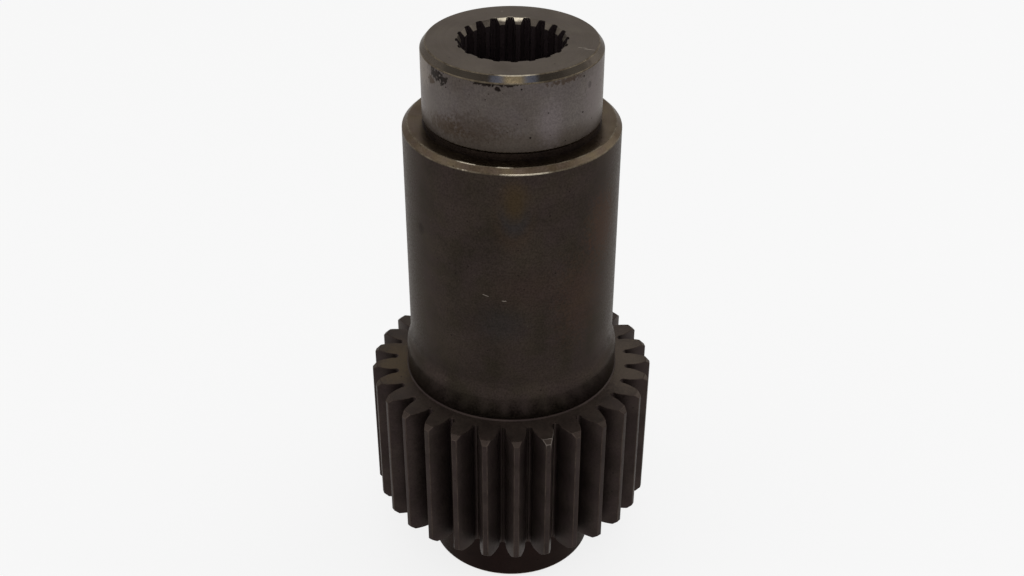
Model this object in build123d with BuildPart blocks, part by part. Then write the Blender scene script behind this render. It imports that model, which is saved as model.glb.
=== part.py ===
from build123d import *
import os
from math import acos, cos, pi, radians, sin, tan

# Hollow gear shaft, one piece of steel, standing on its hub end with the splined end up.
# Millimetres, +Z up, origin at the centre of the bottom face.

# Lengths along the axis, from the bottom up
hub_length = 31.7
gear_width = 58.7
body_length = 106.3
neck_length = 30.4

# Turned diameters, and the steps outwards from the neck to the body and from the body to its foot
hub_diameter = 67.0
neck_diameter = 65.0
shoulder_width = 7.4
foot_step = 1.7

# Edges of the turned ends, and the bevel in the corner where the hub meets the gear
hub_edge = 2.0
hub_corner = 1.5
top_edge_radial = 1.8
top_edge_axial = 2.3

# Undercut at the foot of the neck, which also bites into the shoulder's face
undercut_width = 2.6
undercut_depth = 0.7
undercut_bite = 0.4
undercut_reach = 2.0
shoulder_edge_radial = 2.0
shoulder_edge_axial = 1.9

# Foot of the body: a soft swelling, a short straight wall and a thin ring on the gear's upper face
foot_swelling = 7.0
foot_wall = 9.0
ring_height = 0.5
ring_edge = 0.45

# Spur gear
gear_module = 3.5
gear_teeth = 29
gear_pressure_angle = radians(20)
gear_shift = 0.5
root_depth = 4.85
root_round = 1.2
tooth_end_radial = 1.8
tooth_end_axial = 1.5
first_tooth_angle = -87.8

# Splined bore from the top face down
spline_module = 1.9
spline_teeth = 20
spline_pressure_angle = radians(30)
spline_length = 62.0
mouth_edge_radial = 1.25
mouth_edge_axial = 2.1
first_space_angle = -87.7

# Plain bore below the spline, with a runout groove between them
runout_depth = 0.8
runout_width = 6.0
bore_diameter = 32.0
bore_edge = 1.5

# How far a cutting profile stands past what it cuts, and the steps a tooth flank is laid out in
overcut = 1.0
flank_steps = 4

# Heights of the faces
gear_bottom = hub_length
gear_top = gear_bottom + gear_width
ring_top = gear_top + ring_height
wall_top = ring_top + foot_wall
swelling_top = wall_top + foot_swelling
shoulder = gear_top + body_length
neck_foot = shoulder + undercut_width
top = shoulder + neck_length
spline_bottom = top - spline_length
runout_bottom = spline_bottom - runout_width

# Radii of the turned steps
hub_radius = hub_diameter / 2
neck_radius = neck_diameter / 2
body_radius = neck_radius + shoulder_width
foot_radius = body_radius + foot_step
undercut_radius = neck_radius - undercut_depth
bite_radius = neck_radius + undercut_reach
bore_radius = bore_diameter / 2

# Gear circles
pitch_radius = gear_module * gear_teeth / 2
base_radius = pitch_radius * cos(gear_pressure_angle)
tip_radius = pitch_radius + gear_module * (1 + gear_shift)
root_radius = pitch_radius - root_depth
tooth_half_angle = (pi / 2 + 2 * gear_shift * tan(gear_pressure_angle)) / gear_teeth

# Spline circles
spline_pitch_radius = spline_module * spline_teeth / 2
spline_major_radius = spline_pitch_radius + spline_module / 2
spline_minor_radius = spline_pitch_radius - spline_module / 2
spline_half_angle = pi / 2 / spline_teeth
runout_radius = spline_major_radius + runout_depth
mouth_radius = spline_minor_radius + mouth_edge_radial


def involute(angle):
    return tan(angle) - angle


def flank_turn(radius, pitch, pressure_angle):
    # How far an involute flank has turned at this radius, from where it crosses the pitch circle
    return involute(acos(pitch * cos(pressure_angle) / radius)) - involute(pressure_angle)


def tooth_space_half_angle(radius):
    # Half of the gap between two gear teeth, which widens outwards and is radial below the base circle
    turn = flank_turn(max(radius, base_radius), pitch_radius, gear_pressure_angle)
    return pi / gear_teeth - tooth_half_angle + turn


def spline_space_half_angle(radius):
    # Half of the gap between two spline teeth, which narrows outwards
    return spline_half_angle - flank_turn(radius, spline_pitch_radius, spline_pressure_angle)


def flank(half_angle, inner, outer, side):
    # Points along one side of a gap whose middle lies on +X, closer together near the inner end,
    # where an involute bends most
    radii = [inner + (outer - inner) * (i / flank_steps) ** 2 for i in range(flank_steps + 1)]
    return [(r * cos(half_angle(r)), side * r * sin(half_angle(r))) for r in radii]


def flank_arcs(points):
    # The flank's curve as two arcs that share its middle point
    middle = len(points) // 2
    ThreePointArc(*points[:middle + 1])
    ThreePointArc(*points[middle:])


# Gap between two gear teeth, with a round floor
floor_top = root_radius + root_round
flank_foot = max(base_radius, floor_top)
tooth_space_left = flank(tooth_space_half_angle, flank_foot, tip_radius + overcut, 1)
tooth_space_right = flank(tooth_space_half_angle, flank_foot, tip_radius + overcut, -1)
floor_half_angle = tooth_space_half_angle(floor_top)
floor_left = (floor_top * cos(floor_half_angle), floor_top * sin(floor_half_angle))
floor_right = (floor_left[0], -floor_left[1])
with BuildSketch() as tooth_space:
    with BuildLine():
        flank_arcs(tooth_space_left)
        flank_arcs(tooth_space_right)
        Line(tooth_space_left[-1], tooth_space_right[-1])
        if flank_foot > floor_top:
            Line(tooth_space_left[0], floor_left)
            Line(tooth_space_right[0], floor_right)
        ThreePointArc(floor_left, (root_radius, 0), floor_right)
    make_face()

# Gap between two spline teeth, with its floor on the major circle
spline_space_left = flank(spline_space_half_angle, spline_minor_radius - overcut, spline_major_radius, 1)
spline_space_right = flank(spline_space_half_angle, spline_minor_radius - overcut, spline_major_radius, -1)
with BuildSketch() as spline_space:
    with BuildLine():
        flank_arcs(spline_space_left)
        flank_arcs(spline_space_right)
        ThreePointArc(spline_space_left[-1], (spline_major_radius, 0), spline_space_right[-1])
        Line(spline_space_left[0], spline_space_right[0])
    make_face()

with BuildPart() as gear_shaft:
    # Turned outside, with the gear as a plain disc whose end corners are bevelled
    with BuildSketch(Plane.XZ):
        with BuildLine():
            Polyline(
                (hub_radius, gear_bottom - hub_corner),
                (hub_radius, hub_edge),
                (hub_radius - hub_edge, 0),
                (0, 0),
                (0, top),
                (neck_radius - top_edge_radial, top),
                (neck_radius, top - top_edge_axial),
                (neck_radius, neck_foot),
                (undercut_radius, neck_foot - undercut_depth),
                (undercut_radius, shoulder - undercut_bite),
                (bite_radius - undercut_bite, shoulder - undercut_bite),
                (bite_radius, shoulder),
                (body_radius - shoulder_edge_radial, shoulder),
                (body_radius, shoulder - shoulder_edge_axial),
                (body_radius, swelling_top),
            )
            swelling_middle = (body_radius + foot_step / 2, wall_top + foot_swelling / 2)
            TangentArc((body_radius, swelling_top), swelling_middle, tangent=(0, -1))
            TangentArc((foot_radius, wall_top), swelling_middle, tangent=(0, 1))
            Polyline(
                (foot_radius, wall_top),
                (foot_radius, ring_top),
                (foot_radius + ring_edge, gear_top),
                (tip_radius - tooth_end_radial, gear_top),
                (tip_radius, gear_top - tooth_end_axial),
                (tip_radius, gear_bottom + tooth_end_axial),
                (tip_radius - tooth_end_radial, gear_bottom),
                (hub_radius + hub_corner, gear_bottom),
                (hub_radius, gear_bottom - hub_corner),
            )
        make_face()
    revolve(axis=Axis.Z)

    # Bore from end to end, with its mouth chamfer, runout groove and lower edge
    with BuildSketch(Plane.XZ):
        with BuildLine():
            Polyline(
                (0, 0),
                (bore_radius + bore_edge, 0),
                (bore_radius, bore_edge),
                (bore_radius, runout_bottom - (runout_radius - bore_radius)),
                (runout_radius, runout_bottom),
                (runout_radius, spline_bottom),
                (spline_minor_radius, spline_bottom),
                (spline_minor_radius, top - mouth_edge_axial),
                (mouth_radius, top),
                (0, top),
                close=True,
            )
        make_face()
    revolve(axis=Axis.Z, mode=Mode.SUBTRACT)

    # Gear teeth
    with BuildSketch(Plane.XY.offset(gear_bottom)):
        with PolarLocations(0, gear_teeth, start_angle=first_tooth_angle + 180 / gear_teeth):
            add(tooth_space.sketch)
    extrude(amount=gear_width, mode=Mode.SUBTRACT)

    # Spline teeth
    with BuildSketch(Plane.XY.offset(spline_bottom)):
        with PolarLocations(0, spline_teeth, start_angle=first_space_angle):
            add(spline_space.sketch)
    extrude(amount=spline_length, mode=Mode.SUBTRACT)

os.makedirs("parts", exist_ok=True)
gear_shaft.part.label = "gear_shaft"
export_step(gear_shaft.part, "parts/gear_shaft.step")
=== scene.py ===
from math import acos, cos, hypot, pi, radians, sin, tan

import bmesh
import bpy
from mathutils import Euler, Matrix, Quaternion, Vector


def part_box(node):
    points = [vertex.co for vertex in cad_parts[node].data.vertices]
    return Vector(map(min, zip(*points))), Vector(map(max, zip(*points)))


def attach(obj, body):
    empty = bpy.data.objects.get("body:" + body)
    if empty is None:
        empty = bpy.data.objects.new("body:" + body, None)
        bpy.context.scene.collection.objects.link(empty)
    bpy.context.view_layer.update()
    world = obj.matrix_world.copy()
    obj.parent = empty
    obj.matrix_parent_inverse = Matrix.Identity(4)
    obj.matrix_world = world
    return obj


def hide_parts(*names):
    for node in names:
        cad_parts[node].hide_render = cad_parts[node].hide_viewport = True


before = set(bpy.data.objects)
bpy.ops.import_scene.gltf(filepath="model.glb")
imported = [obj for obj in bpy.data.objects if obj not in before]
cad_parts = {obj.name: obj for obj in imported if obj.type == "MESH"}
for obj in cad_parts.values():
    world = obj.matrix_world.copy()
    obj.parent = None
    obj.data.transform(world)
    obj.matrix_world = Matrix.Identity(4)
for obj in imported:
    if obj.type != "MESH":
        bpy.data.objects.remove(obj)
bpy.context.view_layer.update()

# Turned steps, from the top down
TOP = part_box("gear_shaft")[1].z
NECK_RADIUS = 0.0325
TOP_EDGE_RADIAL = 0.0018
TOP_EDGE_AXIAL = 0.0023
SHOULDER = TOP - 0.0304
UNDERCUT_WIDTH = 0.0026
UNDERCUT_DEPTH = 0.0007
UNDERCUT_BITE = 0.0004
UNDERCUT_REACH = 0.0020
BODY_RADIUS = NECK_RADIUS + 0.0074
SHOULDER_EDGE_RADIAL = 0.0020
SHOULDER_EDGE_AXIAL = 0.0019
FOOT_RADIUS = BODY_RADIUS + 0.0017
FOOT_SWELLING = 0.0070
FOOT_WALL = 0.0090
RING_HEIGHT = 0.0005
RING_EDGE = 0.00045
GEAR_TOP = SHOULDER - 0.1063
GEAR_BOTTOM = GEAR_TOP - 0.0587
HUB_RADIUS = 0.0335
HUB_CORNER = 0.0015
HUB_EDGE = 0.0020

# Gear
GEAR_TEETH = 29
GEAR_MODULE = 0.0035
GEAR_PRESSURE_ANGLE = radians(20)
GEAR_SHIFT = 0.5
ROOT_DEPTH = 0.00485
ROOT_ROUND = 0.0012
TOOTH_END_RADIAL = 0.0018
TOOTH_END_AXIAL = 0.0015
FIRST_TOOTH = radians(-87.8)

# Splined bore
SPLINE_TEETH = 20
SPLINE_MODULE = 0.0019
SPLINE_PRESSURE_ANGLE = radians(30)
SPLINE_BOTTOM = TOP - 0.062
MOUTH_EDGE_RADIAL = 0.00125
MOUTH_EDGE_AXIAL = 0.0021
FIRST_SPACE = radians(-87.7)
RUNOUT_DEPTH = 0.0008
RUNOUT_BOTTOM = SPLINE_BOTTOM - 0.006
BORE_RADIUS = 0.016
BORE_EDGE = 0.0015

# Worn rounds along the edges, wide on the turned steps and fine on the teeth
TURNED_ROUND = 0.00030
GEAR_ROUND = 0.00022
SPLINE_ROUND = 0.00010

# Angles past which two faces meet in a sharp edge, for the rounds and for the shading
SHARP = radians(25)
SHADED_SHARP = radians(30)

# Segments of the turned rings for each tooth of the gear and of the spline
GEAR_STEPS = 8
SPLINE_STEPS = 12

# Segments of the outlines, and how much those of a gear flank crowd towards its foot
GEAR_FLOOR_STEPS = 6
GEAR_FLANK_STEPS = 8
FLANK_CROWDING = 1.6
SPLINE_ROOT_STEPS = 3
SPLINE_FLANK_STEPS = 5
SWELLING_STEPS = 6

# A regular rim beside each bevel, the distance under which two corners are one, and how far the
# middle of a segment may lie off its circle, as a share of the radius
RIM = 0.0012
SAME_PLACE = 0.000005
OFF_CIRCLE = 0.001

# Heights of a face's normal that tell an end face, a bevel and an upright wall apart
END_FACE = 0.9
BEVEL = 0.3
HALF_WAY = 0.5

# Gear and spline circles
GEAR_PITCH = GEAR_MODULE * GEAR_TEETH / 2
GEAR_BASE = GEAR_PITCH * cos(GEAR_PRESSURE_ANGLE)
GEAR_TIP = GEAR_PITCH + GEAR_MODULE * (1 + GEAR_SHIFT)
GEAR_ROOT = GEAR_PITCH - ROOT_DEPTH
GEAR_FLOOR = GEAR_ROOT + ROOT_ROUND
GEAR_INSIDE = FOOT_RADIUS + RING_EDGE
SPLINE_PITCH = SPLINE_MODULE * SPLINE_TEETH / 2
SPLINE_MAJOR = SPLINE_PITCH + SPLINE_MODULE / 2
SPLINE_MINOR = SPLINE_PITCH - SPLINE_MODULE / 2
MOUTH_RADIUS = SPLINE_MINOR + MOUTH_EDGE_RADIAL
RUNOUT_RADIUS = SPLINE_MAJOR + RUNOUT_DEPTH
RING_TOP = GEAR_TOP + RING_HEIGHT
WALL_TOP = RING_TOP + FOOT_WALL


def involute(angle):
    return tan(angle) - angle


def flank_turn(radius, pitch, pressure_angle):
    """How far an involute flank has turned at this radius, from where it crosses the pitch circle."""
    at_radius = acos(min(1, pitch * cos(pressure_angle) / radius))
    return involute(at_radius) - involute(pressure_angle)


def gear_tooth_half_angle(radius):
    at_pitch = (pi / 2 + 2 * GEAR_SHIFT * tan(GEAR_PRESSURE_ANGLE)) / GEAR_TEETH
    return at_pitch - flank_turn(max(radius, GEAR_BASE), GEAR_PITCH, GEAR_PRESSURE_ANGLE)


def spline_tooth_half_angle(radius):
    at_pitch = pi / 2 / SPLINE_TEETH
    return at_pitch + flank_turn(radius, SPLINE_PITCH, SPLINE_PRESSURE_ANGLE)


def polar(radius, angle):
    return Vector((radius * cos(angle), radius * sin(angle), 0))


def spread(first, last, steps):
    """Evenly spaced values from first to last, both included."""
    return [first + (last - first) * i / steps for i in range(steps + 1)]


def mirrored(half):
    """The half outline and its mirror image across the X axis, which its last point lies on."""
    return half + [Vector((p.x, -p.y, 0)) for p in reversed(half[:-1])]


def gear_sector_outline():
    """One tooth pointing along +X with half a gap on each side, closed by an arc round the axis."""
    gap = pi / GEAR_TEETH
    floor_half = gap - gear_tooth_half_angle(GEAR_FLOOR)
    floor_x = GEAR_FLOOR * cos(floor_half)
    centre = (GEAR_ROOT ** 2 - GEAR_FLOOR ** 2) / 2 / (GEAR_ROOT - floor_x)
    bend = centre - GEAR_ROOT
    sweep = acos((centre - floor_x) / bend)
    turns = spread(0, sweep, GEAR_FLOOR_STEPS)
    floor = [Vector((centre - bend * cos(a), -bend * sin(a), 0)) for a in turns]
    for point in floor:
        point.rotate(Euler((0, 0, gap)))
    height = GEAR_TIP - GEAR_BASE
    flank_radii = [GEAR_BASE + height * t ** FLANK_CROWDING for t in spread(0, 1, GEAR_FLANK_STEPS)]
    flank = [polar(r, gear_tooth_half_angle(r)) for r in flank_radii]
    land = [polar(GEAR_TIP, gear_tooth_half_angle(GEAR_TIP) / 2), polar(GEAR_TIP, 0)]
    inside = [polar(GEAR_INSIDE, a) for a in spread(-gap, gap, GEAR_STEPS)]
    return mirrored(floor + flank + land) + inside


def spline_sector_outline():
    """One inward tooth on the +X side with half a space on each side, closed by the runout's arc."""
    space = pi / SPLINE_TEETH
    root_angles = spread(space, spline_tooth_half_angle(SPLINE_MAJOR), SPLINE_ROOT_STEPS)
    root = [polar(SPLINE_MAJOR, a) for a in root_angles]
    flank_radii = spread(SPLINE_MAJOR, SPLINE_MINOR, SPLINE_FLANK_STEPS)[1:]
    flank = [polar(r, spline_tooth_half_angle(r)) for r in flank_radii]
    land = [polar(SPLINE_MINOR, spline_tooth_half_angle(SPLINE_MINOR) / 2), polar(SPLINE_MINOR, 0)]
    outside = [polar(RUNOUT_RADIUS, a) for a in spread(-space, space, SPLINE_STEPS)]
    return mirrored(root + flank + land) + outside


def colour(red, green, blue):
    """A colour for a node's socket, from its red, green and blue on a screen's scale of 0 to 255."""
    values = []
    for value in (red, green, blue):
        part = value / 255
        values.append(part / 12.92 if part < 0.04045 else ((part + 0.055) / 1.055) ** 2.4)
    return (*values, 1)


def at(radius, around, height):
    """A place on the shaft: degrees round to the right of the front, at this radius and height."""
    return Vector((radius * sin(radians(around)), -radius * cos(radians(around)), height))


def feed(tree, socket, value):
    """Links the value if it is another node's output, and otherwise writes it into the socket."""
    if isinstance(value, bpy.types.NodeSocket):
        tree.links.new(value, socket)
    else:
        socket.default_value = value


def node(tree, kind, inputs, **settings):
    """Adds a shader node with its settings, and gives its inputs their values or links."""
    made = tree.nodes.new("ShaderNode" + kind)
    for name, setting in settings.items():
        setattr(made, name, setting)
    for name, value in inputs.items():
        feed(tree, made.inputs[name], value)
    return made


def number(tree, operation, *values):
    return node(tree, "Math", dict(enumerate(values)), operation=operation).outputs[0]


def vector(tree, operation, *values):
    return node(tree, "VectorMath", dict(enumerate(values)), operation=operation).outputs["Vector"]


def measure(tree, operation, *values):
    return node(tree, "VectorMath", dict(enumerate(values)), operation=operation).outputs["Value"]


def rise(tree, value, low, high, at_low=0.0, at_high=1.0):
    """Goes smoothly from one result to the other while the value goes from low to high."""
    ends = {"Value": value, "From Min": low, "From Max": high, "To Min": at_low, "To Max": at_high}
    return node(tree, "MapRange", ends, interpolation_type="SMOOTHSTEP").outputs["Result"]


def blend(tree, share, first, second, way="MIX"):
    """Mixes the second colour over the first by a share."""
    mixed = node(tree, "Mix", {0: share, 6: first, 7: second}, data_type="RGBA", blend_type=way)
    return mixed.outputs[2]


def noise(tree, place, scale, detail):
    return node(tree, "TexNoise", {"Vector": place, "Scale": scale, "Detail": detail}).outputs["Fac"]


def new_effect(name, inputs, output):
    """An empty node group with its named inputs and one output, and the sockets its nodes start from."""
    group = bpy.data.node_groups.new(name, "ShaderNodeTree")
    for socket, kind in inputs.items():
        group.interface.new_socket(socket, in_out="INPUT", socket_type="NodeSocket" + kind)
    group.interface.new_socket(output, in_out="OUTPUT", socket_type="NodeSocketFloat")
    return group, group.nodes.new("NodeGroupInput").outputs


def close_effect(group, result):
    group.links.new(result, group.nodes.new("NodeGroupOutput").inputs[0])
    return group


# Scales and shares inside the effects
CLOUD_DETAIL = 5.0
GROOVE_DRIFT = 25
GROOVE_DETAIL = 2.0
RAGGED_SCALE = 900.0
RAGGED_DETAIL = 6.0
SCRATCH_CORE = 0.3
DOT_CORE = 0.5


def cloudiness():
    """Soft clouds from 0 to 1; Contrast is how far they are drawn apart."""
    wanted = {"Place": "Vector", "Scale": "Float", "Contrast": "Float"}
    group, given = new_effect("cloudiness", wanted, "Cloud")
    cloud = noise(group, given["Place"], given["Scale"], CLOUD_DETAIL)
    half = number(group, "DIVIDE", 0.5, given["Contrast"])
    low, high = number(group, "SUBTRACT", 0.5, half), number(group, "ADD", 0.5, half)
    return close_effect(group, rise(group, cloud, low, high))


def tool_marks():
    """Fine grooves round the axis: Across 0 for a turned side, and 1 for a faced end."""
    wanted = {"Place": "Vector", "Spacing": "Float", "Across": "Float"}
    group, given = new_effect("tool_marks", wanted, "Height")
    level = measure(group, "DOT_PRODUCT", given["Place"], (0, 0, 1))
    radius = measure(group, "LENGTH", vector(group, "MULTIPLY", given["Place"], (1, 1, 0)))
    step = number(group, "MULTIPLY", number(group, "SUBTRACT", radius, level), given["Across"])
    turns = number(group, "DIVIDE", number(group, "ADD", level, step), given["Spacing"])
    slow = vector(group, "MULTIPLY", given["Place"], (GROOVE_DRIFT, GROOVE_DRIFT, 0))
    lift = node(group, "CombineXYZ", {"Z": turns}).outputs[0]
    return close_effect(group, noise(group, vector(group, "ADD", slow, lift), 1.0, GROOVE_DETAIL))


def placed_patch():
    """One stain inside Reach round Centre, with a Ragged edge that fades over a share of Soft."""
    wanted = {"Place": "Vector", "Centre": "Vector", "Reach": "Vector", "Ragged": "Float", "Soft": "Float"}
    group, given = new_effect("placed_patch", wanted, "Mask")
    offset = vector(group, "SUBTRACT", given["Place"], given["Centre"])
    far = measure(group, "LENGTH", vector(group, "DIVIDE", offset, given["Reach"]))
    torn = number(group, "SUBTRACT", noise(group, given["Place"], RAGGED_SCALE, RAGGED_DETAIL), 0.5)
    edge = number(group, "MULTIPLY_ADD", torn, given["Ragged"], far)
    outer = number(group, "ADD", 1.0, given["Soft"])
    inner = number(group, "SUBTRACT", 1.0, given["Soft"])
    return close_effect(group, rise(group, edge, outer, inner))


def scratch():
    """One straight scratch from Start to End."""
    wanted = {"Place": "Vector", "Start": "Vector", "End": "Vector", "Width": "Float"}
    group, given = new_effect("scratch", wanted, "Mask")
    run = vector(group, "SUBTRACT", given["End"], given["Start"])
    here = vector(group, "SUBTRACT", given["Place"], given["Start"])
    square = measure(group, "DOT_PRODUCT", run, run)
    along = number(group, "DIVIDE", measure(group, "DOT_PRODUCT", here, run), square)
    share = node(group, "Clamp", {"Value": along}).outputs[0]
    nearest = node(group, "VectorMath", {0: run, "Scale": share}, operation="SCALE").outputs["Vector"]
    far = measure(group, "DISTANCE", here, nearest)
    width = given["Width"]
    core = number(group, "MULTIPLY", width, SCRATCH_CORE)
    return close_effect(group, rise(group, far, width, core))


def speckles():
    """Scattered small dots, of which Share is how many of the possible ones are there."""
    wanted = {"Place": "Vector", "Scale": "Float", "Share": "Float", "Size": "Float"}
    group, given = new_effect("speckles", wanted, "Mask")
    cells = node(group, "TexVoronoi", {"Vector": given["Place"], "Scale": given["Scale"]})
    pick = node(group, "SeparateColor", {"Color": cells.outputs["Color"]}).outputs[0]
    chosen = number(group, "LESS_THAN", pick, given["Share"])
    core = number(group, "MULTIPLY", given["Size"], DOT_CORE)
    dot = rise(group, cells.outputs["Distance"], given["Size"], core)
    return close_effect(group, number(group, "MULTIPLY", chosen, dot))


CLOUDINESS = cloudiness()
TOOL_MARKS = tool_marks()
PLACED_PATCH = placed_patch()
SCRATCH = scratch()
SPECKLES = speckles()


def use(tree, effect, **inputs):
    """Places an effect in a material with its own values."""
    made = node(tree, "Group", {}, node_tree=effect)
    for name, value in inputs.items():
        feed(tree, made.inputs[name], value)
    return made.outputs[0]


# Scales and shares that the finishes have in common
DRIFT_CONTRAST = 2.6
TINT_CONTRAST = 2.2
TINT_FINENESS = 1.9
TINT_SHARE = 0.6
GRAIN_SCALE = 1500.0
GRAIN_DETAIL = 3.0
GRAIN_HEIGHT = 0.5
GRAIN_SPAN = (0.25, 0.75)
SHADE_SPAN = (0.2, 0.8)
GRAIN_ROUGHNESS = 0.09
GROOVE_SHADE = 0.12
STAIN_ROUGHNESS = 0.08
PIT_DEPTH = 0.8
SCRATCH_DEPTH = 1.0
EDGE_ON_WARMTH = (1, 0.97, 0.94)


def worn_steel(name, shades, cloud, roughness, marks, metallic=1, level=0.25, edge_on=0.68, grit=0.22,
               stains=(), scratches=(), dots=(), depth=0.00002):
    """A steel finish: shades that drift into each other, stains, dots and scratches on them, and fine
    grain and tool marks in its colour, roughness and height.

    shades: dark, light and tinted.  cloud: scale of the drift.  marks: spacing, across, strength.
    stains: centre, reach, ragged, soft, colour, strength.  scratches: start, end, width, colour.
    dots: scale, share, size, colour.  edge_on: how bright it is seen edge-on.  grit: contrast of the grain.
    """
    material = bpy.data.materials.new(name)
    material.use_nodes = True
    tree = material.node_tree
    shader = tree.nodes["Principled BSDF"]
    shader.inputs["Metallic"].default_value = metallic
    shader.inputs["Specular IOR Level"].default_value = level
    shader.inputs["Specular Tint"].default_value = (*(edge_on * part for part in EDGE_ON_WARMTH), 1)
    place = tree.nodes.new("ShaderNodeTexCoord").outputs["Object"]
    dark, light, tinted = shades
    drift = use(tree, CLOUDINESS, Place=place, Scale=cloud, Contrast=DRIFT_CONTRAST)
    tint = use(tree, CLOUDINESS, Place=place, Scale=cloud * TINT_FINENESS, Contrast=TINT_CONTRAST)
    skin = blend(tree, drift, dark, light)
    skin = blend(tree, number(tree, "MULTIPLY", tint, TINT_SHARE), skin, tinted)
    spacing, across, strength = marks
    groove = use(tree, TOOL_MARKS, Place=place, Spacing=spacing, Across=across)
    grain = noise(tree, place, GRAIN_SCALE, GRAIN_DETAIL)
    rough = rise(tree, grain, *GRAIN_SPAN, roughness - GRAIN_ROUGHNESS, roughness + GRAIN_ROUGHNESS)
    fine = number(tree, "MULTIPLY", grain, GRAIN_HEIGHT)
    height = number(tree, "MULTIPLY_ADD", groove, strength, fine)
    for centre, reach, ragged, soft, stain, share in stains:
        mask = use(tree, PLACED_PATCH, Place=place, Centre=centre, Reach=reach, Ragged=ragged, Soft=soft)
        mask = number(tree, "MULTIPLY", mask, share)
        skin = blend(tree, mask, skin, stain)
        rough = number(tree, "MULTIPLY_ADD", mask, STAIN_ROUGHNESS, rough)
    for scale, share, size, dot in dots:
        mask = use(tree, SPECKLES, Place=place, Scale=scale, Share=share, Size=size)
        skin = blend(tree, mask, skin, dot)
        height = number(tree, "MULTIPLY_ADD", mask, -PIT_DEPTH, height)
    for start, end, width, bright in scratches:
        mask = use(tree, SCRATCH, Place=place, Start=start, End=end, Width=width)
        skin = blend(tree, mask, skin, bright)
        height = number(tree, "MULTIPLY_ADD", mask, -SCRATCH_DEPTH, height)
    shade = rise(tree, grain, *SHADE_SPAN, 1 - grit, 1 + grit)
    line = rise(tree, groove, *SHADE_SPAN, 1 - GROOVE_SHADE * strength, 1 + GROOVE_SHADE * strength)
    skin = blend(tree, 1.0, skin, number(tree, "MULTIPLY", shade, line), "MULTIPLY")
    bump = node(tree, "Bump", {"Strength": 1.0, "Distance": depth, "Height": height})
    feed(tree, shader.inputs["Base Color"], skin)
    feed(tree, shader.inputs["Roughness"], rough)
    feed(tree, shader.inputs["Normal"], bump.outputs["Normal"])
    return material


# Oxide, rust and heat colours, and colours of painted light: highlight, sheen and glint
OXIDE = colour(22, 17, 15)
BROWN = colour(58, 46, 35)
RUST = colour(64, 46, 36)
STRAW_HIGHLIGHT = colour(84, 74, 57)
HEAT_BLUE_HIGHLIGHT = colour(66, 67, 74)
PAINTED_BEVEL_SHEEN = colour(74, 67, 60)
BARE = colour(128, 120, 112)
GLINT = colour(205, 195, 175)
PIT = colour(30, 24, 22)


def on_bevel(around):
    """A place half-way up the bevel round the end face."""
    return at(NECK_RADIUS - TOP_EDGE_RADIAL / 2, around, TOP - TOP_EDGE_AXIAL / 2)


def on_neck(around, down):
    """A place on the neck, this far below the top."""
    return at(NECK_RADIUS, around, TOP - down)


def on_body(around, down):
    """A place on the body, this far below the shoulder."""
    return at(BODY_RADIUS, around, SHOULDER - down)


def faced_top():
    """The turned end face, pale and even, with two scratches and specks of dirt."""
    return worn_steel(
        "faced_top", shades=(colour(76, 69, 62), colour(86, 79, 71), colour(82, 74, 69)),
        cloud=90.0, roughness=0.46, marks=(0.00035, 1.0, 0.5),
        scratches=[
            (at(0.0240, 72.2, TOP), at(0.0270, 72.6, TOP), 0.00025, BARE),
            (at(0.0265, 70.8, TOP), at(0.0298, 71.3, TOP), 0.00028, BARE),
        ],
        dots=[(420.0, 0.05, 0.16, colour(52, 45, 40)), (260.0, 0.03, 0.1, BARE)])


def tinted_bevel():
    """The end face's bevel: heat colours as a painted highlight in front, painted sheen at the sides, a
    dent at the right.
    """
    return worn_steel(
        "tinted_bevel", shades=(colour(42, 38, 32), colour(50, 45, 39), colour(46, 41, 37)),
        cloud=70.0, roughness=0.26, marks=(0.0003, 0.0, 0.6), grit=0.12, depth=0.00001,
        stains=[
            # Heat colours in front, also a painted highlight where the front lamp's reflection falls
            (on_bevel(-9), (0.0024, 0.004, 0.003), 0.4, 0.5, HEAT_BLUE_HIGHLIGHT, 0.8),
            (on_bevel(11), (0.0024, 0.004, 0.003), 0.4, 0.5, HEAT_BLUE_HIGHLIGHT, 0.8),
            (on_bevel(1), (0.0036, 0.004, 0.003), 0.4, 0.5, STRAW_HIGHLIGHT, 0.8),
            (on_bevel(57), (0.0008, 0.0008, 0.0009), 0.8, 0.3, OXIDE, 0.9),
            # Painted sheen: the bevel paler at both sides, where it is seen near edge-on
            (on_bevel(-75), (0.010, 0.016, 0.004), 0.3, 0.4, PAINTED_BEVEL_SHEEN, 0.9),
            (on_bevel(75), (0.008, 0.012, 0.004), 0.3, 0.4, PAINTED_BEVEL_SHEEN, 0.9),
        ])


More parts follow.
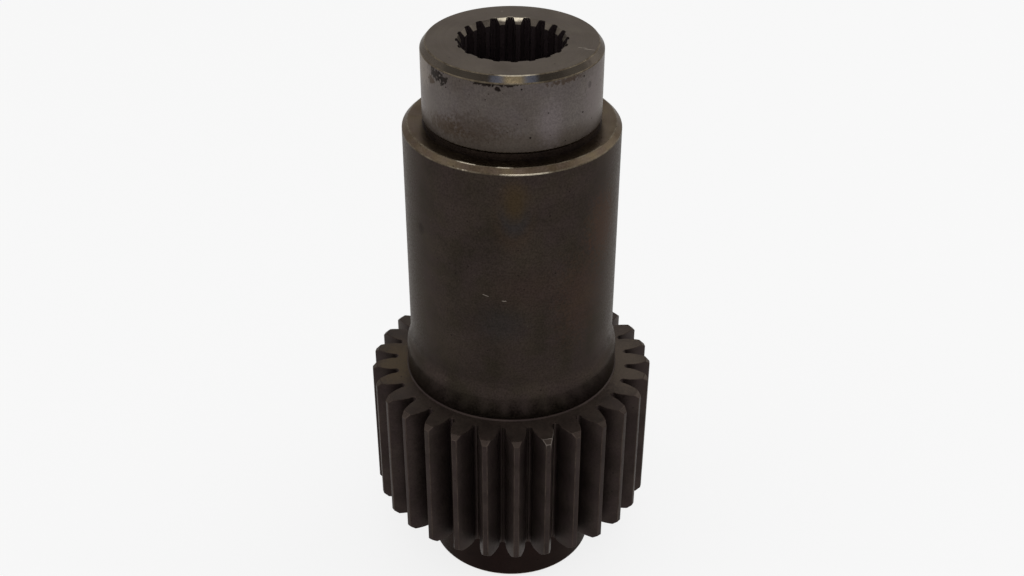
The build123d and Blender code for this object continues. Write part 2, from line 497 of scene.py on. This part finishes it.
def ground_neck():
    """The ground seat: pale, with oxide crept down from the bevel, small pits, painted highlights and
    painted shade.
    """
    return worn_steel(
        "ground_neck", shades=(colour(76, 69, 64), colour(92, 86, 82), colour(82, 75, 75)),
        cloud=55.0, roughness=0.38, marks=(0.0002, 0.0, 0.35), edge_on=0.82,
        stains=[
            # Browner and darker round the foot of the neck, partly painted shade
            (on_neck(0, 0.0254), (0.0400, 0.0400, 0.0045), 1.2, 0.5, colour(66, 58, 49), 0.6),
            # Painted highlight: a pale patch at the left edge near the top
            (on_neck(-70, 0.0060), (0.0050, 0.0060, 0.0055), 2.2, 0.4, BARE, 0.6),
            (on_neck(-53, 0.0045), (0.0028, 0.0028, 0.0020), 4.0, 0.2, OXIDE, 0.9),
            (on_neck(-46, 0.0052), (0.0018, 0.0018, 0.0018), 4.0, 0.2, OXIDE, 0.9),
            (on_neck(-58, 0.0078), (0.0020, 0.0020, 0.0014), 4.0, 0.3, BROWN, 0.8),
            (on_neck(-17, 0.0026), (0.0044, 0.0030, 0.0008), 3.4, 0.25, OXIDE, 0.9),
            (on_neck(-4, 0.0025), (0.0050, 0.0030, 0.0008), 3.4, 0.25, OXIDE, 0.9),
            (on_neck(-8.4, 0.0043), (0.0010, 0.0010, 0.0009), 2.2, 0.3, OXIDE, 0.95),
            (on_neck(55, 0.0086), (0.0009, 0.0009, 0.0013), 2.0, 0.3, OXIDE, 0.9),
            (on_neck(35, 0.0034), (0.0060, 0.0060, 0.0010), 4.0, 0.3, BROWN, 0.7),
            # Painted shade: the lower left of the neck darker
            (on_neck(-25, 0.0200), (0.0110, 0.0060, 0.0045), 2.6, 0.6, colour(62, 53, 47), 0.7),
            (on_neck(-45, 0.0220), (0.0090, 0.0080, 0.0030), 2.4, 0.6, BROWN, 0.6),
            # Painted highlights: pale bands on the right of the neck
            (on_neck(24, 0.0175), (0.0040, 0.0040, 0.0070), 1.4, 0.8, colour(104, 96, 96), 0.7),
            (on_neck(62, 0.0130), (0.0060, 0.0080, 0.0090), 2.4, 0.6, colour(108, 100, 99), 0.6),
        ],
        dots=[(330.0, 0.12, 0.17, OXIDE), (620.0, 0.14, 0.2, colour(54, 46, 42))])


def stained_shoulder():
    """The shoulder's face and corner, stained the colour of bronze."""
    return worn_steel(
        "stained_shoulder", shades=(colour(66, 55, 43), colour(84, 74, 58), colour(78, 67, 60)),
        cloud=110.0, roughness=0.36, marks=(0.0003, 1.0, 0.7),
        dots=[(500.0, 0.08, 0.2, colour(46, 38, 31))])


def dark_groove():
    """The undercut, dark with old grease and with painted shade."""
    return worn_steel(
        "dark_groove", shades=(colour(38, 31, 28), colour(52, 43, 37), colour(47, 38, 34)),
        cloud=140.0, roughness=0.42, marks=(0.0004, 0.0, 0.5), metallic=0.8)


def dark_body():
    """The long body's dark skin, with faint heat colours, rust at the right and two tiny scratches."""
    return worn_steel(
        "dark_body", shades=(colour(41, 36, 30), colour(52, 45, 39), colour(52, 43, 42)),
        cloud=60.0, roughness=0.42, marks=(0.0004, 0.0, 0.4), grit=0.3, edge_on=0.72,
        stains=[
            (on_body(1.0, 0.0192), (0.0065, 0.006, 0.0120), 0.8, 0.5, colour(58, 46, 37), 0.5),
            (on_body(1.5, 0.0172), (0.0052, 0.006, 0.0085), 0.6, 0.4, colour(44, 43, 44), 0.7),
            (on_body(1.5, 0.0127), (0.0040, 0.006, 0.0065), 0.6, 0.7, colour(62, 50, 34), 0.8),
            (on_body(56, 0.0307), (0.0060, 0.0080, 0.0120), 3.4, 0.6, RUST, 0.6),
            (on_body(40, 0.0567), (0.0090, 0.0080, 0.0150), 3.4, 0.8, RUST, 0.35),
            (on_body(10, 0.0487), (0.0120, 0.0080, 0.0070), 1.6, 0.9, colour(54, 42, 37), 0.4),
            (on_body(-55, 0.0327), (0.0018, 0.0018, 0.0020), 1.2, 0.6, PIT, 0.6),
            (on_body(-5, 0.0637), (0.0070, 0.0060, 0.0060), 1.6, 0.9, colour(42, 40, 40), 0.5),
        ],
        scratches=[
            (on_body(-15.0, 0.0509), on_body(-12.0, 0.0515), 0.00014, BARE),
            (on_body(-4.8, 0.0530), on_body(-2.8, 0.0530), 0.00020, BARE),
        ],
        dots=[(520.0, 0.07, 0.14, colour(66, 60, 52)), (450.0, 0.07, 0.18, PIT)])


def gear_face():
    """The gear's end faces, brown, with painted sheen at both sides of the body's foot."""
    beside_foot = FOOT_RADIUS + 0.0044
    return worn_steel(
        "gear_face", shades=(colour(46, 39, 35), colour(60, 52, 46), colour(58, 48, 44)),
        cloud=85.0, roughness=0.48, marks=(0.0005, 1.0, 0.4), metallic=0.5, level=0.12,
        stains=[
            # Painted sheen: paler patches on the face at both sides of the body's foot
            (at(beside_foot, -84, GEAR_TOP), (0.007, 0.014, 0.004), 1.2, 0.6, colour(80, 67, 48), 0.6),
            (at(beside_foot, 84, GEAR_TOP), (0.009, 0.018, 0.004), 1.2, 0.6, colour(84, 74, 64), 0.7),
        ],
        dots=[(480.0, 0.08, 0.2, PIT)])


def gear_flank():
    """The teeth, dark and matt."""
    return worn_steel(
        "gear_flank", shades=(colour(41, 34, 31), colour(55, 47, 43), colour(51, 41, 41)),
        cloud=95.0, roughness=0.48, marks=(0.0006, 0.0, 0.2),
        metallic=0.6, level=0.06, edge_on=0.9, depth=0.000003,
        dots=[(420.0, 0.07, 0.17, colour(28, 21, 21))])


def gear_edge():
    """The worn edges of the teeth, with a painted highlight on the top edge of one tooth."""
    return worn_steel(
        "gear_edge", shades=(colour(46, 38, 34), colour(72, 63, 57), colour(58, 49, 45)),
        cloud=160.0, roughness=0.42, marks=(0.0006, 0.0, 0.2), metallic=0.8, level=0.1, edge_on=0.5,
        # Painted highlight on the top edge of the tooth at 18 degrees
        stains=[(at(GEAR_TIP, 18, GEAR_TOP), (0.005, 0.005, 0.003), 1.0, 0.5, colour(120, 112, 106), 0.8)])


def dark_hub():
    """The hub's brown-black skin."""
    return worn_steel(
        "dark_hub", shades=(colour(24, 17, 16), colour(31, 23, 21), colour(32, 22, 20)),
        cloud=70.0, roughness=0.5, marks=(0.0005, 0.0, 0.3),
        dots=[(450.0, 0.06, 0.2, colour(18, 13, 12))])


def bore():
    """The inside, dark and oily, with the marks of the broach."""
    return worn_steel(
        "bore", shades=(colour(42, 35, 36), colour(52, 44, 45), colour(47, 38, 40)),
        cloud=120.0, roughness=0.5, marks=(0.0005, 0.0, 0.2), metallic=0.5, level=0.1, depth=0.000008,
        dots=[(500.0, 0.03, 0.15, colour(64, 60, 62))])


def mouth_edge():
    """The bevel at the splines' mouth, with a painted glint at the back."""
    return worn_steel(
        "mouth_edge", shades=(colour(62, 56, 50), colour(84, 77, 69), colour(72, 66, 60)),
        cloud=200.0, roughness=0.34, marks=(0.0003, 0.0, 0.3),
        # Painted glint on the mouth's bevel at the back
        stains=[(at(MOUTH_RADIUS, 180, TOP), (0.0060, 0.002, 0.0012), 0.8, 0.4, GLINT, 0.9)])


def rubbed_glinting_edge():
    """The worn edges of the turned steps, with painted glints in front on the shoulder's edges and the top
    bevel's edge.
    """
    inner = BODY_RADIUS - SHOULDER_EDGE_RADIAL
    return worn_steel(
        "rubbed_glinting_edge", shades=(colour(60, 52, 42), colour(96, 88, 75), colour(80, 70, 58)),
        cloud=260.0, roughness=0.3, marks=(0.0004, 0.0, 0.3),
        stains=[
            # Painted glints on the shoulder's inner and outer edges and on the top bevel's edge, in front
            (at(inner, -24, SHOULDER), (0.0032, 0.003, 0.002), 1.2, 0.4, GLINT, 0.8),
            (at(inner, -4, SHOULDER), (0.0024, 0.003, 0.002), 1.2, 0.4, GLINT, 0.8),
            (on_body(8, SHOULDER_EDGE_AXIAL), (0.0080, 0.003, 0.0012), 0.8, 0.4, GLINT, 0.6),
            (at(NECK_RADIUS - TOP_EDGE_RADIAL, 3, TOP), (0.0060, 0.003, 0.0012), 0.6, 0.4, GLINT, 0.5),
        ])


FINISHES = {made.name: made for made in (
    faced_top(), tinted_bevel(), ground_neck(), dark_groove(), stained_shoulder(), dark_body(), gear_face(),
    gear_flank(), gear_edge(), dark_hub(), bore(), mouth_edge(), rubbed_glinting_edge())}


def near(value, wanted):
    return abs(value - wanted) < SAME_PLACE


def on_ring(radius, height):
    return lambda co: near(hypot(co.x, co.y), radius) and near(co.z, height)


def on_either(*tests):
    return lambda co: any(test(co) for test in tests)


def select_parts(kind, test):
    """In the mesh being edited, selects the vertices, edges or faces that pass the test."""
    bpy.ops.mesh.select_mode(type=kind)
    bpy.ops.mesh.select_all(action="DESELECT")
    data = bpy.context.edit_object.data
    mesh = bmesh.from_edit_mesh(data)
    mesh.normal_update()
    for part in {"VERT": mesh.verts, "EDGE": mesh.edges, "FACE": mesh.faces}[kind]:
        part.select_set(test(part))
    mesh.select_flush_mode()
    bmesh.update_edit_mesh(data)


def all_corners(test):
    """A test that an edge or face passes when each of its corners is at a place that passes."""
    return lambda part: all(test(corner.co) for corner in part.verts)


def select_rings(*rings):
    """In the mesh being edited, selects the edges that run round one of these rings."""
    select_parts("EDGE", lambda edge: any(all_corners(ring)(edge) for ring in rings))


def select_sharp_edges(test):
    """In the mesh being edited, selects the sharp edges whose two ends both pass the test."""
    bpy.ops.mesh.select_mode(type="EDGE")
    bpy.ops.mesh.select_all(action="DESELECT")
    bpy.ops.mesh.edges_select_sharp(sharpness=SHARP)
    mesh = bmesh.from_edit_mesh(bpy.context.edit_object.data)
    for edge in mesh.edges:
        if edge.select and not all(test(corner.co) for corner in edge.verts):
            edge.select_set(False)
    mesh.select_flush_mode()
    bmesh.update_edit_mesh(bpy.context.edit_object.data)


def give_finish(name):
    """Gives the selected faces of the mesh being edited this finish."""
    piece = bpy.context.edit_object
    piece.active_material_index = list(FINISHES).index(name)
    bpy.ops.object.material_slot_assign()


def round_selected(width, finish):
    """Rounds the selected edges, as wear does, and gives the rounds their own finish."""
    slot = list(FINISHES).index(finish)
    bpy.ops.mesh.bevel(offset=width, segments=2, affect="EDGES", clamp_overlap=False, material=slot)


def begin_edit(piece):
    """Leaves only this piece selected and opens its mesh with nothing in it selected."""
    bpy.ops.object.select_all(action="DESELECT")
    piece.select_set(True)
    bpy.context.view_layer.objects.active = piece
    bpy.ops.object.mode_set(mode="EDIT")
    bpy.ops.mesh.select_mode(type="EDGE")
    bpy.ops.mesh.select_all(action="DESELECT")


def end_edit():
    bpy.ops.object.mode_set(mode="OBJECT")


def new_piece(name):
    """Names the primitive just added, puts its place in its mesh and gives it a slot for each finish."""
    piece = bpy.context.object
    piece.name = name
    bpy.ops.object.transform_apply()
    for material in FINISHES.values():
        piece.data.materials.append(material)
    return piece


def joined(name, pieces):
    """The pieces as one, with the corners that meet merged."""
    bpy.ops.object.select_all(action="DESELECT")
    for piece in pieces:
        piece.select_set(True)
    bpy.context.view_layer.objects.active = pieces[0]
    bpy.ops.object.join()
    pieces[0].name = name
    begin_edit(pieces[0])
    bpy.ops.mesh.select_all(action="SELECT")
    bpy.ops.mesh.remove_doubles(threshold=SAME_PLACE)
    end_edit()
    return pieces[0]


def turn_about_axis(piece, angle):
    bpy.ops.object.select_all(action="DESELECT")
    piece.select_set(True)
    bpy.context.view_layer.objects.active = piece
    piece.rotation_euler.z = angle
    bpy.ops.object.transform_apply()


def turned(name, steps, profile):
    """Rings drawn out one after another along a profile of radius, height and the finish of each band."""
    radius, height = profile[0]
    bpy.ops.object.select_all(action="DESELECT")
    bpy.ops.mesh.primitive_circle_add(vertices=steps, radius=radius, location=(0, 0, height))
    piece = new_piece(name)
    begin_edit(piece)
    bpy.ops.mesh.select_all(action="SELECT")
    for next_radius, next_height, finish in profile[1:]:
        lift = (0, 0, next_height - height)
        bpy.ops.mesh.extrude_region_move(TRANSFORM_OT_translate={"value": lift})
        scale = next_radius / radius
        bpy.ops.transform.resize(value=(scale, scale, 1), center_override=(0, 0, 0))
        ring, next_ring = on_ring(radius, height), on_ring(next_radius, next_height)
        select_parts("FACE", all_corners(on_either(ring, next_ring)))
        give_finish(finish)
        select_parts("EDGE", all_corners(next_ring))
        radius, height = next_radius, next_height
    end_edit()
    return piece


def upright_prism(name, outline, bottom, top):
    """A closed prism: an upright edge drawn round the outline, then capped at both ends."""
    height = top - bottom
    bpy.ops.object.select_all(action="DESELECT")
    bpy.ops.mesh.primitive_plane_add(size=height, location=outline[0], rotation=(pi / 2, 0, 0))
    piece = new_piece(name)
    begin_edit(piece)
    select_parts("VERT", lambda corner: corner.co.x > outline[0].x)
    bpy.ops.mesh.delete(type="VERT")
    bpy.ops.mesh.select_mode(type="EDGE")
    bpy.ops.mesh.select_all(action="SELECT")
    bpy.ops.transform.translate(value=(height / 2, 0, (bottom + top) / 2))
    for here, there in zip(outline, outline[1:]):
        bpy.ops.mesh.extrude_region_move(TRANSFORM_OT_translate={"value": there - here})
    ends = (outline[0], outline[-1])
    select_parts("EDGE", all_corners(lambda co: any(near(co.x, p.x) and near(co.y, p.y) for p in ends)))
    bpy.ops.mesh.edge_face_add()
    for level in (bottom, top):
        select_parts("EDGE", all_corners(lambda co: near(co.z, level)))
        bpy.ops.mesh.edge_face_add()
    bpy.ops.mesh.select_all(action="SELECT")
    bpy.ops.mesh.normals_make_consistent(inside=False)
    end_edit()
    return piece


def cut_corner(point, outward):
    """Cuts off what lies outside a plane, in the mesh being edited, and closes the cut."""
    bpy.ops.mesh.select_all(action="SELECT")
    bpy.ops.mesh.bisect(plane_co=point, plane_no=outward, use_fill=True, clear_outer=True)


def drop_walls(half_angle, hidden_radius, keep_inside):
    """Deletes the sector's side walls and the wall at its hidden arc, which its neighbours close."""
    def is_wall(face):
        middle = face.calc_center_median()
        angle = abs(Vector((middle.x, middle.y)).angle_signed(Vector((1, 0))))
        radius = hypot(middle.x, middle.y)
        if keep_inside:
            on_arc = radius > hidden_radius * (1 - OFF_CIRCLE)
        else:
            on_arc = radius < hidden_radius * (1 + OFF_CIRCLE)
        return abs(face.normal.z) < HALF_WAY and (on_arc or near(angle, half_angle))

    select_parts("FACE", is_wall)
    bpy.ops.mesh.delete(type="FACE")


def repeat_round(piece, times):
    """Copies the whole mesh round the axis and merges the seams."""
    begin_edit(piece)
    bpy.ops.mesh.select_all(action="SELECT")
    turn = 2 * pi * (times - 1) / times
    bpy.ops.mesh.spin(steps=times - 1, dupli=True, angle=turn, center=(0, 0, 0), axis=(0, 0, 1))
    bpy.ops.mesh.select_all(action="SELECT")
    bpy.ops.mesh.remove_doubles(threshold=SAME_PLACE)
    end_edit()


def gear():
    """One tooth of the gear with its end bevels and worn edges, copied round the axis."""
    tooth = upright_prism("gear", gear_sector_outline(), GEAR_BOTTOM, GEAR_TOP)
    gap = pi / GEAR_TEETH
    begin_edit(tooth)
    for end, way in ((GEAR_TOP, 1), (GEAR_BOTTOM, -1)):
        outward = Vector((TOOTH_END_AXIAL, 0, way * TOOTH_END_RADIAL)).normalized()
        cut_corner((GEAR_TIP - TOOTH_END_RADIAL, 0, end), outward)
    select_parts("FACE", lambda face: abs(face.normal.z) > HALF_WAY)
    give_finish("gear_face")
    select_parts("FACE", lambda face: abs(face.normal.z) < HALF_WAY)
    give_finish("gear_flank")
    root_middle = polar(GEAR_ROOT, gap).x
    select_sharp_edges(lambda co: co.x > root_middle - SAME_PLACE)
    round_selected(GEAR_ROUND, "gear_edge")
    drop_walls(gap, GEAR_INSIDE, keep_inside=False)
    end_edit()
    repeat_round(tooth, GEAR_TEETH)
    return tooth


def spline():
    """One tooth of the splined bore with the mouth's bevel, copied round the axis."""
    tooth = upright_prism("spline", spline_sector_outline(), SPLINE_BOTTOM, TOP)
    space = pi / SPLINE_TEETH
    begin_edit(tooth)
    inward = Vector((-MOUTH_EDGE_AXIAL, 0, MOUTH_EDGE_RADIAL)).normalized()
    cut_corner((MOUTH_RADIUS, 0, TOP), inward)
    bpy.ops.mesh.select_all(action="SELECT")
    give_finish("bore")
    select_parts("FACE", lambda face: face.normal.z > BEVEL)
    give_finish("mouth_edge")
    select_parts("FACE", lambda face: face.normal.z > END_FACE)
    give_finish("faced_top")
    select_sharp_edges(lambda co: hypot(co.x, co.y) < SPLINE_MAJOR + SAME_PLACE)
    round_selected(SPLINE_ROUND, "mouth_edge")
    drop_walls(space, RUNOUT_RADIUS, keep_inside=True)
    end_edit()
    repeat_round(tooth, SPLINE_TEETH)
    return tooth


def swelling(steps):
    """The soft step from the body out to its foot: a hollow arc and a round one, upright at both ends."""
    width, height = (FOOT_RADIUS - BODY_RADIUS) / 2, FOOT_SWELLING / 2
    bend = (height ** 2 + width ** 2) / 2 / width
    sweep = acos((bend - width) / bend)
    middle = WALL_TOP + height
    arc = [(bend * (1 - cos(a)), bend * sin(a)) for a in spread(0, sweep, steps)]
    hollow = [(BODY_RADIUS + out, middle + height - down) for out, down in arc[1:]]
    rounded = [(FOOT_RADIUS - back, WALL_TOP + up) for back, up in reversed(arc[:-1])]
    return [(radius, level, "dark_body") for radius, level in hollow + rounded]


def outside():
    """Everything turned on the outside, with the gear between its upper and lower parts."""
    steps = GEAR_TEETH * GEAR_STEPS
    neck_foot = SHOULDER + UNDERCUT_WIDTH
    undercut = NECK_RADIUS - UNDERCUT_DEPTH
    bite = SHOULDER - UNDERCUT_BITE
    hollow = NECK_RADIUS + UNDERCUT_REACH
    above = turned("above_gear", steps, [
        (NECK_RADIUS - TOP_EDGE_RADIAL - RIM, TOP),
        (NECK_RADIUS - TOP_EDGE_RADIAL, TOP, "faced_top"),
        (NECK_RADIUS, TOP - TOP_EDGE_AXIAL, "tinted_bevel"),
        (NECK_RADIUS, neck_foot, "ground_neck"),
        (undercut, neck_foot - UNDERCUT_DEPTH, "dark_groove"),
        (undercut, bite, "dark_groove"),
        (NECK_RADIUS, bite, "dark_groove"),
        # The shoulder's face starts as a soft hollow beside the undercut
        (hollow, SHOULDER - UNDERCUT_BITE / 3, "stained_shoulder"),
        (hollow + UNDERCUT_REACH, SHOULDER, "stained_shoulder"),
        (BODY_RADIUS - SHOULDER_EDGE_RADIAL, SHOULDER, "stained_shoulder"),
        (BODY_RADIUS, SHOULDER - SHOULDER_EDGE_AXIAL, "stained_shoulder"),
        (BODY_RADIUS, WALL_TOP + FOOT_SWELLING, "dark_body"),
        *swelling(SWELLING_STEPS),
        (FOOT_RADIUS, RING_TOP, "dark_body"),
        (GEAR_INSIDE, GEAR_TOP, "gear_flank"),
    ])
    below = turned("below_gear", steps, [
        (GEAR_INSIDE, GEAR_BOTTOM),
        (HUB_RADIUS + HUB_CORNER, GEAR_BOTTOM, "gear_face"),
        (HUB_RADIUS, GEAR_BOTTOM - HUB_CORNER, "dark_hub"),
        (HUB_RADIUS, HUB_EDGE, "dark_hub"),
        (HUB_RADIUS - HUB_EDGE, 0, "dark_hub"),
        (HUB_RADIUS - HUB_EDGE - RIM, 0, "dark_hub"),
    ])
    piece = joined("outside", [above, gear(), below])
    turn_about_axis(piece, FIRST_TOOTH)
    return piece


def inside():
    """The splined bore, the runout groove and the plain bore below them."""
    steps = SPLINE_TEETH * SPLINE_STEPS
    lower = turned("plain_bore", steps, [
        (RUNOUT_RADIUS, SPLINE_BOTTOM),
        (RUNOUT_RADIUS, RUNOUT_BOTTOM, "bore"),
        (BORE_RADIUS, RUNOUT_BOTTOM - RUNOUT_RADIUS + BORE_RADIUS, "bore"),
        (BORE_RADIUS, BORE_EDGE, "bore"),
        (BORE_RADIUS + BORE_EDGE, 0, "bore"),
        (BORE_RADIUS + BORE_EDGE + RIM, 0, "dark_hub"),
    ])
    piece = joined("inside", [spline(), lower])
    turn_about_axis(piece, FIRST_SPACE + pi / SPLINE_TEETH)
    return piece


def fill_between(first, second, finish):
    """Closes the flat ring between two circles of the mesh being edited."""
    select_parts("EDGE", all_corners(on_either(first, second)))
    bpy.ops.mesh.fill()
    bpy.ops.mesh.select_mode(type="FACE")
    give_finish(finish)


def gear_shaft():
    """The whole shaft, one closed mesh."""
    piece = joined("gear_shaft_dressed", [outside(), inside()])
    begin_edit(piece)
    top_rim = on_ring(NECK_RADIUS - TOP_EDGE_RADIAL - RIM, TOP)
    fill_between(top_rim, on_ring(RUNOUT_RADIUS, TOP), "faced_top")
    bottom_rim = on_ring(HUB_RADIUS - HUB_EDGE - RIM, 0)
    fill_between(bottom_rim, on_ring(BORE_RADIUS + BORE_EDGE + RIM, 0), "dark_hub")
    bpy.ops.mesh.select_all(action="SELECT")
    bpy.ops.mesh.normals_make_consistent(inside=False)
    select_rings(
        on_ring(NECK_RADIUS - TOP_EDGE_RADIAL, TOP),
        on_ring(NECK_RADIUS, TOP - TOP_EDGE_AXIAL),
        on_ring(NECK_RADIUS, SHOULDER + UNDERCUT_WIDTH),
        on_ring(BODY_RADIUS - SHOULDER_EDGE_RADIAL, SHOULDER),
        on_ring(BODY_RADIUS, SHOULDER - SHOULDER_EDGE_AXIAL),
        on_ring(HUB_RADIUS, HUB_EDGE),
        on_ring(HUB_RADIUS - HUB_EDGE, 0),
    )
    round_selected(TURNED_ROUND, "rubbed_glinting_edge")
    end_edit()
    bpy.ops.object.shade_smooth_by_angle(angle=SHADED_SHARP)
    weighted = piece.modifiers.new("flat_faces_stay_flat", "WEIGHTED_NORMAL")
    weighted.keep_sharp = True
    bpy.ops.object.modifier_apply(modifier=weighted.name)
    return piece


# The photograph's viewpoint
VIEWPOINT = (0.00037, -0.45981, TOP + 0.19318)
VIEW_DOWN = radians(34.922)
VIEW_ASIDE = radians(0.017)
VIEW_ROLL = radians(0.161)
LENS = 49.129
LENS_SHIFT = (0, 0.05)
NEAREST_SEEN = 0.01


def camera():
    bpy.ops.object.camera_add(location=VIEWPOINT)
    viewer = bpy.context.object
    viewer.name = "viewpoint"
    viewer.data.lens = LENS
    viewer.data.shift_x, viewer.data.shift_y = LENS_SHIFT
    viewer.data.clip_start = NEAREST_SEEN
    viewer.rotation_mode = "QUATERNION"
    level = Euler((pi / 2 - VIEW_DOWN, 0, VIEW_ASIDE)).to_quaternion()
    viewer.rotation_quaternion = level @ Quaternion((0, 0, 1), VIEW_ROLL)
    bpy.context.scene.camera = viewer


def softbox(name, place, size, power):
    """A square lamp that faces the middle of the shaft."""
    bpy.ops.object.light_add(type="AREA", location=place)
    lamp = bpy.context.object
    lamp.name = name
    lamp.data.size = size
    lamp.data.energy = power
    towards = Vector((0, 0, TOP / 2)) - Vector(place)
    lamp.rotation_euler = towards.to_track_quat("-Z", "Y").to_euler()


# The white surroundings, and the pale floor with the share of its own glow
WHITE = (1, 1, 1, 1)
ROOM_LIGHT = 0.6
FLOOR_SIZE = 30
FLOOR_GREY = (0.9, 0.9, 0.9, 1)
FLOOR_ROUGHNESS = 0.9
FLOOR_GLOW = 0.8


def seen_directly(tree):
    """A mask of the rays for which the surroundings are plain white."""
    rays = node(tree, "LightPath", {}).outputs
    seen = number(tree, "MAXIMUM", rays["Is Camera Ray"], rays["Is Glossy Ray"])
    return number(tree, "MAXIMUM", seen, rays["Is Transmission Ray"])


def white_room():
    """A world that looks white and lights the shaft softly."""
    world = bpy.data.worlds.new("white_room")
    world.use_nodes = True
    bpy.context.scene.world = world
    tree = world.node_tree
    soft = tree.nodes["Background"]
    soft.inputs["Color"].default_value = WHITE
    soft.inputs["Strength"].default_value = ROOM_LIGHT
    white = node(tree, "Background", {"Color": WHITE, "Strength": 1.0})
    both = node(tree, "MixShader", {0: seen_directly(tree), 1: soft.outputs[0], 2: white.outputs[0]})
    feed(tree, tree.nodes["World Output"].inputs["Surface"], both.outputs[0])


def floor():
    """A plain pale floor that keeps a faint shadow."""
    bpy.ops.mesh.primitive_plane_add(size=FLOOR_SIZE, location=(0, 0, 0))
    ground = bpy.context.object
    ground.name = "floor"
    material = bpy.data.materials.new("pale_floor")
    material.use_nodes = True
    tree = material.node_tree
    matt = tree.nodes["Principled BSDF"]
    matt.inputs["Base Color"].default_value = FLOOR_GREY
    matt.inputs["Roughness"].default_value = FLOOR_ROUGHNESS
    matt.inputs["Specular IOR Level"].default_value = 0
    glow = node(tree, "Emission", {"Color": WHITE, "Strength": 1.0})
    share = number(tree, "MULTIPLY", seen_directly(tree), FLOOR_GLOW)
    both = node(tree, "MixShader", {0: share, 1: matt.outputs[0], 2: glow.outputs[0]})
    feed(tree, tree.nodes["Material Output"].inputs["Surface"], both.outputs[0])
    ground.data.materials.append(material)


bpy.context.scene.view_settings.view_transform = "Standard"
camera()
white_room()
floor()
softbox("front_softbox", place=(0.03, -0.93, 1.30), size=0.45, power=2.2)
softbox("left_softbox", place=(-1.6, -0.3, 1.0), size=1.6, power=4)
softbox("right_softbox", place=(1.5, 0.5, 1.0), size=1.6, power=6)

shaft = gear_shaft()
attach(shaft, "root")
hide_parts("gear_shaft")
